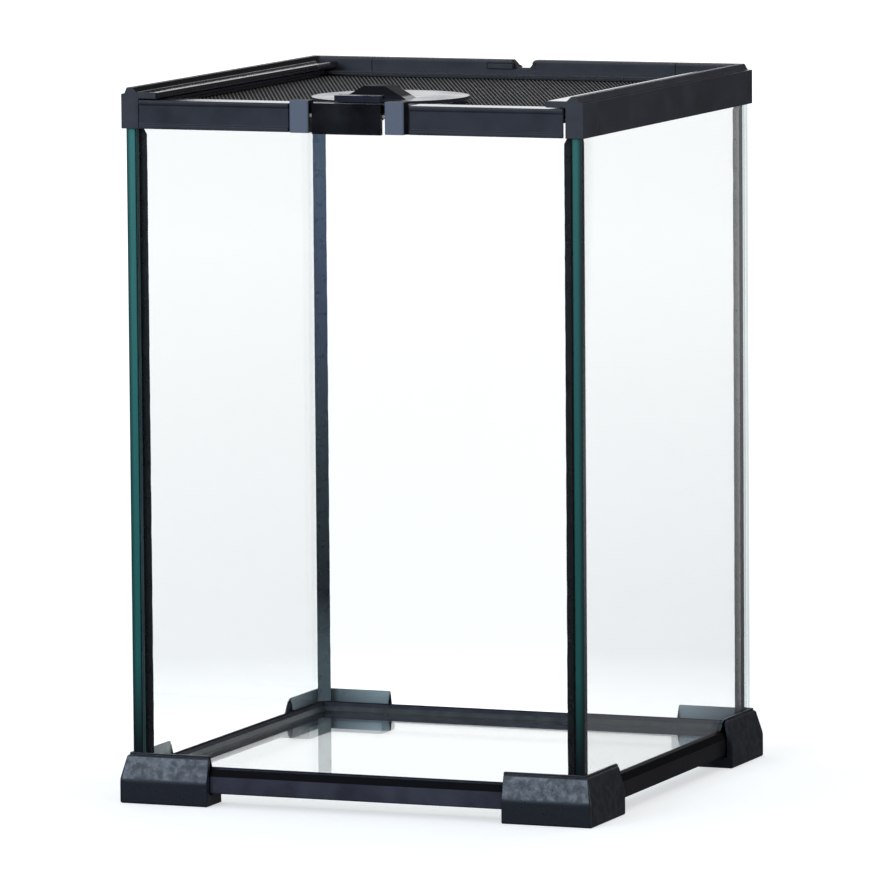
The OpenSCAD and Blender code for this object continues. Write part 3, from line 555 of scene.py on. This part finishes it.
def moulded(name, colour, roughness, gloss, grain=0.5, mottle=0.25, where=None, there=None):
    """Satin moulded plastic: a fine spark-eroded grain, and slow flow marks in colour and gloss.
    Where the share that where(x, y, z, up) gives is 1, it has the colour and roughness of there."""
    made, plastic = material(name)
    places = plastic.node("TexCoord").outputs
    fine = plastic.value("TexNoise", "Fac", Vector=places["Object"], Scale=2600.0, Detail=2.0)
    flow = plastic.value("TexNoise", "Fac", Vector=places["Object"], Scale=55.0, Detail=4.0, Roughness=0.6)
    cloud = flow.ramp(0.35, 0.65)
    dark, light = (tuple(c * (1 + side * mottle) for c in colour) for side in (-1, 1))
    tint = plastic.colour(cloud, (*dark, 1.0), (*light, 1.0))
    dull = roughness + 0.1 * (cloud - 0.5) + 0.08 * (fine - 0.5)
    if where:
        share = where(*plastic.parts(places["Object"]), plastic.parts(places["Normal"])[2])
        tint = plastic.colour(share, tint, (*there[0], 1.0))
        dull = dull + (there[1] - dull) * share
    bump = plastic.node("Bump", Strength=grain, Distance=0.00002, Height=fine)
    body = plastic.node(
        "BsdfPrincipled", Base_Color=tint, Roughness=dull, Specular_IOR_Level=gloss, Normal=bump.outputs[0]
    )
    plastic.node("OutputMaterial", Surface=body.outputs[0])
    return made


def evened(piece):
    """Large flat faces keep their own shading right up to the roundings beside them."""
    evening = piece.modifiers.new("evening", "WEIGHTED_NORMAL")
    evening.keep_sharp = True
    return piece


def softened(node, body, slot, finish, width):
    """A copy of a CAD node with its triangles merged into flat faces and its edges rounded."""
    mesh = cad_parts[node].data.copy()
    mesh.name = node + "_moulding"
    shape = bmesh.new()
    shape.from_mesh(mesh)
    bmesh.ops.remove_doubles(shape, verts=shape.verts, dist=1e-6)
    bmesh.ops.dissolve_limit(
        shape, angle_limit=math.radians(FLAT_WITHIN), verts=shape.verts, edges=shape.edges
    )
    shape.to_mesh(mesh)
    shape.free()
    mesh.materials.clear()
    mesh.materials.append(finish)
    mesh.polygons.foreach_set("use_smooth", np.ones(len(mesh.polygons), bool))
    mesh.set_sharp_from_angle(angle=math.radians(SMOOTH_BELOW))
    piece = bpy.data.objects.new(node + "_moulding", mesh)
    scene.collection.objects.link(piece)
    rounding = piece.modifiers.new("rounding", "BEVEL")
    rounding.width = width
    rounding.segments = ROUND_STEPS
    rounding.limit_method = "ANGLE"
    rounding.angle_limit = math.radians(ROUND_ABOVE)
    rounding.use_clamp_overlap = True
    return dress(evened(piece), body, slot, node)


# Upward faces are rougher and painted near black as painted shade; the right rail's copy is darker:
# painted shade.
base_black, base_black_painted_shade = (
    moulded(
        name, colour, roughness=0.40, gloss=0.2,
        where=lambda x, y, z, up: up.ramp(0.2, 0.3),
        there=((0.001, 0.001, 0.002), 0.8),
    )
    for name, colour in (
        ("base_black", (0.039, 0.039, 0.056)), ("base_black_painted_shade", (0.013, 0.013, 0.015)),
    )
)
for side in ("front", "right", "back", "left"):
    finish = base_black_painted_shade if side == "right" else base_black
    softened(f"base_rail_{side}", "tank", "base_plastic", finish, BASE_ROUND)


# ---------------------------------------------------------------------------------------------
# The top frame: two side rails and a back rail in satin black plastic, held by end caps in front and
# by corner pieces at the back, with a strip on the front pane and a shutter over the cable notch.
# They are pushed together dry. The flanges that keep the lid down are polished on top. On the left
# rail and corner, the slope from the ridge and the flange's tip are painted dark as painted shade.
# ---------------------------------------------------------------------------------------------
FRAME_ROUND, SHUTTER_ROUND = 0.25 * MM, 0.15 * MM
# In from the outer face of a side rail to its ridge, then across and down to the flange and its tip.
RIDGE_IN, FLANGE_SLOPE, FLANGE_DROP, FLANGE_TIP = 5.2 * MM, 2.2 * MM, 1.9 * MM, 1.3 * MM
# The dark polished finish of the flange tops; on the left rail's slope and flange tip it is painted shade.
POLISHED_AND_SHADED = ((0.009, 0.009, 0.010), 0.06)
rail_low, rail_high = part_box("top_rail_left")
flange_high = rail_high[2] - FLANGE_DROP


def flange_top(x, y, z, up):
    """1 on the flat tops of the flanges over the lid."""
    return up.ramp(0.8, 0.95) * (1.0 - (z - flange_high).ramp(0.3 * MM, 0.6 * MM))


def left_inside_painted_shade(x, y, z, up):
    """1 on the top of the flange of the left rail, and on the slope down to it from the ridge, which is
    painted dark there as painted shade.
    """
    inward = x - (rail_low[0] + RIDGE_IN)
    past = inward - FLANGE_SLOPE
    slope = inward.ramp(-0.1 * MM, 0.1 * MM) * (1.0 - past.ramp(-0.1 * MM, 0.1 * MM))
    slope = slope * up.ramp(0.05, 0.15) * (1.0 - up.ramp(0.8, 0.95))
    return slope.most(flange_top(x, y, z, up))


def left_flange_painted_shade(x, y, z, up):
    """1 where left_inside_painted_shade is, and on the round tip of the flange too, painted dark there as
    painted shade.
    """
    beyond = x - (rail_high[0] - FLANGE_TIP)
    tip = beyond.ramp(-0.1 * MM, 0.1 * MM) * up.ramp(-0.3, -0.2)
    return left_inside_painted_shade(x, y, z, up).most(tip)


# The left rail and corner are copies of the frame black, painted darker on the inward slope and tip:
# painted shade.
frame_black, corner_black_left_painted_shade, rail_black_left_painted_shade = (
    moulded(
        name, (0.034, 0.034, 0.043), roughness=0.42, gloss=0.3, grain=0.35, where=where, there=POLISHED_AND_SHADED
    )
    for name, where in (
        ("frame_black", flange_top), ("corner_black_left_painted_shade", left_inside_painted_shade), ("rail_black_left_painted_shade", left_flange_painted_shade),
    )
)
for node in ("top_rail_left", "end_cap_left"):
    softened(node, "tank", "frame_plastic", rail_black_left_painted_shade, FRAME_ROUND)
softened("frame_corner_left", "tank", "frame_plastic", corner_black_left_painted_shade, FRAME_ROUND)
for node in ("top_rail_right", "top_rail_back", "end_cap_right", "frame_corner_right", "front_glass_trim"):
    softened(node, "tank", "frame_plastic", frame_black, FRAME_ROUND)
softened("cable_shutter", "cable_shutter", "frame_plastic", frame_black, SHUTTER_ROUND)


# ---------------------------------------------------------------------------------------------
# The lid: five satin black bars round the mesh, the ring of the feeding port and the housing of the
# lock, each its own moulding, snapped to the next. The cover and the latch are glossy and turn on pins.
# ---------------------------------------------------------------------------------------------
LID_ROUND, COVER_ROUND = 0.2 * MM, 0.3 * MM
# The cover's disc rises this far over its ring, and its finger grip begins this far behind the lock.
DISC_RISE, GRIP_IN = 0.9 * MM, 15.0 * MM
lock_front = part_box("lock_housing")[0][1]
disc_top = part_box("port_ring")[1][2] + DISC_RISE
grip_front = lock_front + GRIP_IN
# The upward faces are polished, and painted a little lighter as a painted highlight.
lid_black = moulded(
    "lid_black", (0.022, 0.023, 0.032), roughness=0.40, gloss=0.3,
    where=lambda x, y, z, up: up.ramp(0.8, 0.95),
    there=((0.03, 0.03, 0.034), 0.12),
)
# The housing is near black, and its front face is painted light blue-grey: a painted sheen from the key
# light.
lock_black_painted_sheen = moulded(
    "lock_black_painted_sheen", (0.008, 0.008, 0.010), roughness=0.45, gloss=0.25,
    where=lambda x, y, z, up: 1.0 - (y - lock_front).ramp(0.4 * MM, 0.8 * MM),
    there=((0.12, 0.137, 0.180), 0.5),
)
cover_black = moulded(
    "cover_black", (0.026, 0.027, 0.040), roughness=0.2, gloss=0.18, grain=0.05,
    where=lambda x, y, z, up: (z - disc_top).ramp(0.0, 0.5 * MM) * (y - grip_front).ramp(-MM, MM),
    there=((0.004, 0.004, 0.006), 0.6),
)
latch_black = moulded("latch_black", (0.004, 0.004, 0.006), roughness=0.2, gloss=0.5, grain=0.05)
for node in ("lid_front_bar_left", "lid_front_bar_right", "lid_side_bar_left", "lid_side_bar_right",
             "lid_rear_bar", "port_ring"):
    softened(node, "lid", "lid_plastic", lid_black, LID_ROUND)
softened("lock_housing", "lid", "lid_plastic", lock_black_painted_sheen, LID_ROUND)
softened("port_cover", "port_cover", "cover_plastic", cover_black, COVER_ROUND)
softened("latch", "latch", "latch_gloss", latch_black, COVER_ROUND)


# ---------------------------------------------------------------------------------------------
# The feet: four thick corner shoes of a softer black plastic, pushed on over the base rails.
# They were moulded dull and have been handled, so their skin is blotchy and finely pitted.
# ---------------------------------------------------------------------------------------------
FOOT_CREASE, FOOT_LEAN, FOOT_RIM, FOOT_RIM_HIGH = 9.8 * MM, 2.7 * MM, 1.0 * MM, 1.0 * MM
FOOT_PLATE, FOOT_FIT, FOOT_CHAMFER = 15.6 * MM, 0.15 * MM, 0.5 * MM
FOOT_CORNER, FOOT_SHARPEST, FOOT_END = 1.4 * MM, 0.4 * MM, 0.5 * MM
BASE_LIP_RISE, BASE_SHOULDER = 0.3 * MM, 3.1 * MM
# Pale colours painted on the faces against the panes: a painted reflection of the glass edges, palest at
# the tips.
FOOT_REFLECTION_TIP, FOOT_REFLECTION_CORNER = (0.42, 0.47, 0.50, 1.0), (0.10, 0.115, 0.13, 1.0)
# In metres from the middle of the tank, along a leg and out to the faces that have the painted reflection.
FOOT_REFLECTION_ALONG, FOOT_REFLECTION_OUT = (0.068, 0.094), (0.085, 0.09)
CURVE_POINTS, TURN_POINTS = 6, 7
foot_outer, base_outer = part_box("foot_back_right")[1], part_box("base_rail_back")[1]
foot_top = foot_outer[2]
base_low, base_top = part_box("base_rail_back")[0][2], base_outer[2] - BASE_LIP_RISE
base_face_top = base_top - BASE_SHOULDER
base_set = foot_outer[1] - base_outer[1]
glass_set = base_outer[1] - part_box("back_glass")[1][1]


def rounded(corners, reach):
    """A closed outline whose corners c are replaced by curves a(1 - s)^2 + 2cs(1 - s) + bs^2,
    from a to b, two points at the given reach from the corner along its two sides."""
    corners, reach = np.array(corners), np.array(reach)[:, None]
    sides = [np.roll(corners, step, 0) - corners for step in (1, -1)]
    start, end = (corners + side / np.linalg.norm(side, axis=1, keepdims=True) * reach for side in sides)
    s = np.linspace(0.0, 1.0, CURVE_POINTS)[:, None, None]
    curve = start * (1 - s) ** 2 + 2 * corners * s * (1 - s) + end * s**2
    return curve.transpose(1, 0, 2).reshape(-1, 2)


def drawn_in(outline, distance):
    """A closed outline moved inwards, each point square to the line between its two neighbours."""
    along = np.roll(outline, -1, 0) - np.roll(outline, 1, 0)
    length = np.maximum(np.linalg.norm(along, axis=1, keepdims=True), 1e-9)
    area = (outline[:, 0] * np.roll(outline[:, 1], -1) - outline[:, 1] * np.roll(outline[:, 0], -1)).sum()
    return outline + np.stack([-along[:, 1], along[:, 0]], 1) / length * distance * np.sign(area)


def foot_section():
    """The section of a foot as distance in from its outer face, and height. Each corner goes with the
    reach of its rounding in millimetres."""
    shelf = foot_top - FOOT_RIM_HIGH
    glass_in = base_set + glass_set - FOOT_FIT
    rail_in = base_set - FOOT_FIT
    corners_and_reach = [
        (FOOT_CHAMFER, 0.0, 0.3), (0.0, FOOT_CHAMFER, 0.3), (0.0, FOOT_CREASE, 1.1),
        (FOOT_LEAN, shelf, 1.0), (glass_in - FOOT_RIM, shelf, 0.2),
        (glass_in - FOOT_RIM, foot_top, 0.25), (glass_in, foot_top, 0.2),
        (glass_in, base_top + FOOT_FIT, 0.0), (rail_in, base_face_top + FOOT_FIT, 0.0),
        (rail_in, base_low - FOOT_FIT, 0.0),
        (FOOT_PLATE, base_low - FOOT_FIT, 0.2), (FOOT_PLATE, 0.0, 0.2),
    ]
    *corner, reach = zip(*corners_and_reach)
    return rounded(np.transpose(corner), np.array(reach) * MM)


def foot(node, finish):
    """A section carried along one leg, round the corner and along the other leg. A point at a distance
    u in goes round the corner on an arc of radius a = max(r - u, m), about a centre u + a in from both
    faces. Both ends are closed by the section drawn in."""
    low, high = (np.array(end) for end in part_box(node))
    side = np.sign((low + high)[:2])
    tip = np.where(side > 0, high[:2], -low[:2])
    leg = (high - low)[0]
    outline = foot_section()
    u, height = outline.T
    ends = [
        (drawn_in(outline, inset), set_back)
        for inset, set_back in ((FOOT_END, 0.0), (0.3 * FOOT_END, 0.3 * FOOT_END), (0.0, FOOT_END))
    ]
    turn = np.linspace(0.0, np.pi / 2, TURN_POINTS)[:, None]
    radius = np.maximum(FOOT_CORNER - u, FOOT_SHARPEST)
    centre = tip[:, None] - u - radius
    corner = np.stack([
        centre[0] + radius * np.sin(turn), centre[1] + radius * np.cos(turn),
        np.broadcast_to(height, (TURN_POINTS, len(u))),
    ], -1)
    first, last = [], []
    for line, back in ends:
        inwards, upwards = line.T
        end_x, end_y = (np.full(len(line), place - leg + back) for place in tip)
        first.append(np.stack([end_x, tip[1] - inwards, upwards], 1))
        last.insert(0, np.stack([tip[0] - inwards, end_y, upwards], 1))
    rings = np.stack([*first, *corner, *last]) * np.array([*side, 1.0])
    return evened(skin(node + "_shoe", rings, [finish], 40.0))


def blotchy(name, colour, roughness, gloss):
    """Dull black plastic with worn, shinier blotches, and pits and scuffs a few tenths of a millimetre
    wide. The faces against the panes are painted pale as a painted reflection, stronger towards the ends
    of the two legs. They look inwards far from the middle, so the product p . n of place and normal is
    well below 0 there."""
    made, skin_finish = material(name)
    places = skin_finish.node("TexCoord").outputs
    coords = places["Object"]
    blotch = skin_finish.value("TexNoise", "Fac", Vector=coords, Scale=280.0, Detail=5.0, Roughness=0.65)
    pit = skin_finish.value("TexNoise", "Fac", Vector=coords, Scale=1400.0, Detail=3.0, Roughness=0.6)
    worn = blotch.ramp(0.40, 0.62)
    tint = skin_finish.colour(worn, (*(0.7 * c for c in colour), 1.0), (*(1.6 * c for c in colour), 1.0))
    dot = {"operation": "DOT_PRODUCT"}
    outward = skin_finish.value("VectorMath", "Value", dot, in0=coords, in1=places["Normal"])
    x, y, _ = skin_finish.parts(coords)
    along = x.maths("ABSOLUTE", x).least(y.maths("ABSOLUTE", y))
    painted_sheen = skin_finish.colour(along.ramp(*FOOT_REFLECTION_ALONG), FOOT_REFLECTION_TIP, FOOT_REFLECTION_CORNER)
    tint = skin_finish.colour((0.0 - outward).ramp(*FOOT_REFLECTION_OUT), tint, painted_sheen)
    rough = skin_finish.node("Bump", Strength=0.35, Distance=0.0001, Height=pit + 0.5 * blotch)
    body = skin_finish.node(
        "BsdfPrincipled", Base_Color=tint, Roughness=roughness + 0.16 * (0.5 - worn) + 0.16 * (pit - 0.5),
        Specular_IOR_Level=gloss, Normal=rough.outputs[0],
    )
    skin_finish.node("OutputMaterial", Surface=body.outputs[0])
    return made


foot_black = blotchy("foot_black", (0.010, 0.012, 0.018), roughness=0.36, gloss=0.6)
for corner in ("front_left", "front_right", "back_left", "back_right"):
    dress(foot(f"foot_{corner}", foot_black), "tank", "foot_plastic", f"foot_{corner}")


# ---------------------------------------------------------------------------------------------
# The small pieces: the bead round the floor pane, smeared by the finger that drew it and painted a
# lighter grey-blue as a painted sheen, the soft cord that holds the mesh in the lid, and the bright
# wire pins of the latch and of the port's cover.
# ---------------------------------------------------------------------------------------------
CORD_ROUND, PIN_ROUND = 0.2 * MM, 0.1 * MM
# The floor bead's grey-blue colour is partly a smear and partly a painted sheen.
silicone_smear_and_sheen = silicone("silicone_smear_and_sheen", (0.034, 0.043, 0.050), roughness=0.2)
softened("floor_bead", "tank", "black_silicone", silicone_smear_and_sheen, CORD_ROUND)
softened("mesh_spline", "lid", "spline", silicone_black, CORD_ROUND)
pin_steel = moulded("pin_steel", (0.5, 0.5, 0.52), roughness=0.3, gloss=0.5, grain=0.1, mottle=0.1)
softened("latch_pin", "lid", "pin_steel", pin_steel, PIN_ROUND)
softened("port_pin", "lid", "pin_steel", pin_steel, PIN_ROUND)


# ---------------------------------------------------------------------------------------------
# The lid's mesh: two layers of flat black-coated steel strands that cross in long diamonds,
# welded where they cross, trapped at the edges under the spline and open under the port.
# ---------------------------------------------------------------------------------------------
STRAND_PITCH = 1.77 * MM
STRAND_RUN = 2.13
STRAND_WIDTH = 0.46 * MM
RING_LAP, PORT_CLEAR = 2.0 * MM, 0.5 * MM


def strands(run, low, high, hole_at, hole_r):
    """The two ends of every strand of one layer, as an array of pairs of points in plan.
    A strand is the line x = c + t, y = run * t, with c in steps of the pitch. It is cut where it meets
    the edges of the mesh, and where it meets the port, (x - x0)^2 + (y - y0)^2 = r^2."""
    slant = np.array([1.0, run])
    t_ends = np.sort(np.array([low[1], high[1]]) / run)
    starts = np.arange(low[0] - t_ends[1], high[0] - t_ends[0], STRAND_PITCH)
    first = np.maximum(t_ends[0], low[0] - starts)
    last = np.minimum(t_ends[1], high[0] - starts)
    origin = np.stack([starts, np.zeros_like(starts)], 1)
    toward = origin - hole_at
    half = -(toward @ slant) / (slant @ slant)
    under = half**2 - ((toward**2).sum(1) - hole_r**2) / (slant @ slant)
    cut = np.sqrt(np.maximum(under, 0.0))
    spans = np.vstack([
        np.stack([origin[:, 0], first, np.where(under > 0, np.minimum(last, half - cut), last)], 1),
        np.stack([origin[:, 0], np.maximum(first, half + cut), last], 1)[under > 0],
    ])
    spans = spans[spans[:, 2] - spans[:, 1] > STRAND_WIDTH / abs(run)]
    return np.stack([np.stack([spans[:, 0] + spans[:, i], run * spans[:, i]], 1) for i in (1, 2)], 1)


def strand_layer(ends, z_low, z_high):
    """The vertices and faces of flat strands: a six-sided section, carried from end to end of each."""
    direction = ends[:, 1] - ends[:, 0]
    direction /= np.linalg.norm(direction, axis=1, keepdims=True)
    across = np.stack([-direction[:, 1], direction[:, 0]], 1)
    sides = np.array([-0.5, -0.3, 0.3, 0.5, 0.3, -0.3]) * STRAND_WIDTH
    heights = np.array([0.5, 0.0, 0.0, 0.5, 1.0, 1.0]) * (z_high - z_low) + z_low
    count = len(sides)
    plan = ends[:, :, None, :] + across[:, None, None, :] * sides[None, None, :, None]
    tall = np.broadcast_to(heights[None, None, :, None], (*plan.shape[:3], 1))
    points = np.concatenate([plan, tall], -1).reshape(-1, 3)
    here = np.arange(count)
    ahead = (here + 1) % count
    walls = np.stack([here, ahead, ahead + count, here + count], 1)
    base = np.arange(len(ends))[:, None, None] * 2 * count
    quads = (walls[None] + base).reshape(-1, 4)
    caps = (np.stack([here[::-1], here + count])[None] + base).reshape(-1, count)
    return points, quads.tolist() + caps.tolist()


def coated_wire(name, halfway):
    """Black paint on steel. The upper layer, above the height halfway, is painted pale as a painted
    highlight, varied by wear; the lower layer is painted black as painted shade.
    """
    made, paint = material(name)
    coords = paint.node("TexCoord").outputs["Object"]
    worn = paint.value("TexNoise", "Fac", Vector=coords, Scale=45.0, Detail=4.0).ramp(0.35, 0.7)
    speck = paint.value("TexNoise", "Fac", Vector=coords, Scale=1500.0, Detail=1.0)
    # Upper strands are painted pale as a painted highlight; lower strands are painted black as painted
    # shade.
    painted_light_share = (paint.parts(coords)[2] - halfway).ramp(0.0, 0.03 * MM) * (0.6 + 0.4 * worn)
    tint = paint.colour(painted_light_share, (0.004, 0.004, 0.004, 1.0), (0.13, 0.13, 0.133, 1.0))
    coat = paint.node(
        "BsdfPrincipled", Base_Color=tint, Roughness=0.45 + 0.2 * speck, Specular_IOR_Level=0.3,
        Metallic=0.15 * worn,
    )
    paint.node("OutputMaterial", Surface=coat.outputs[0])
    return made


mesh_low, mesh_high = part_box("lid_mesh")
ring_low, ring_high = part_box("port_ring")
hole_centre = np.array([0.0, ring_low[1] + ring_high[0]])
halfway = (mesh_low[2] + mesh_high[2]) / 2
port_r = ring_high[0] - RING_LAP + PORT_CLEAR
layers = [
    strand_layer(strands(STRAND_RUN, mesh_low, mesh_high, hole_centre, port_r), mesh_low[2], halfway),
    strand_layer(strands(-STRAND_RUN, mesh_low, mesh_high, hole_centre, port_r), halfway, mesh_high[2]),
]
mesh = bpy.data.meshes.new("lid_mesh_strands")
shift = len(layers[0][0])
faces = layers[0][1] + [[index + shift for index in face] for face in layers[1][1]]
mesh.from_pydata(np.vstack([layers[0][0], layers[1][0]]).tolist(), [], faces)
woven = finish_mesh("lid_mesh_strands", mesh, [coated_wire("mesh_black", halfway)], 30.0)
dress(woven, "lid", "mesh", "lid_mesh")
